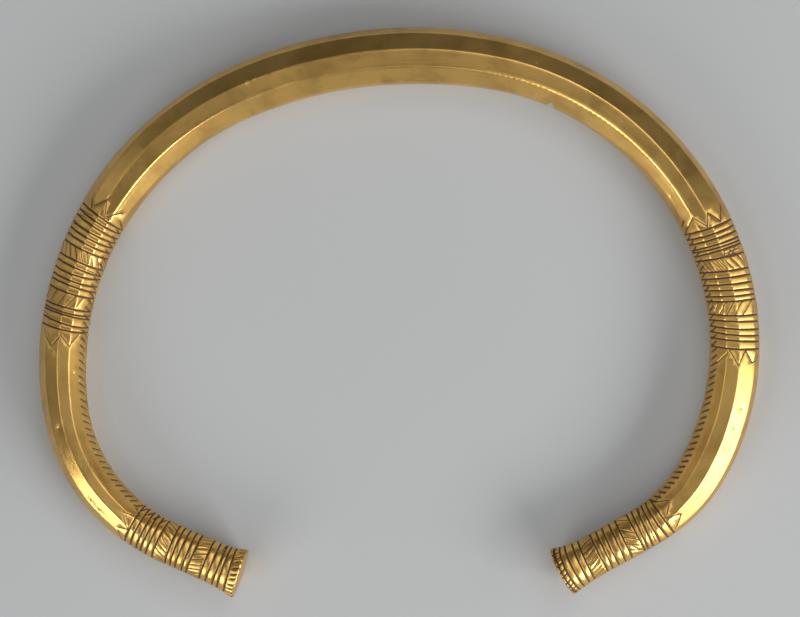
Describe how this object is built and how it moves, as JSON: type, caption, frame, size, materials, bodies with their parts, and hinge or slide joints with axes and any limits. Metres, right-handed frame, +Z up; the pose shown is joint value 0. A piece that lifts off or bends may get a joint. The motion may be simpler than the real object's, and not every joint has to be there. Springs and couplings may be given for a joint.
{
  "type": "celtic gold torc",
  "caption": "Open, C-shaped gold neck ring with a faceted bar, flared round terminals and bands of engraved rings, hatching and zigzags.",
  "frame": {"origin": "middle of the ring's box in plan, on the flat surface that it lies on", "axes": "+Z up as it lies flat, +X across its greatest width from the left to the right side, +Y towards the back of the ring; the opening between the terminals faces -Y"},
  "size_m": [0.181, 0.1434, 0.0132],
  "materials": {
    "gold": "worn polished gold with dark brown dirt in the engraved lines"
  },
  "bodies": {
    "root": {"torc": "gold"}
  },
  "joints": []
}
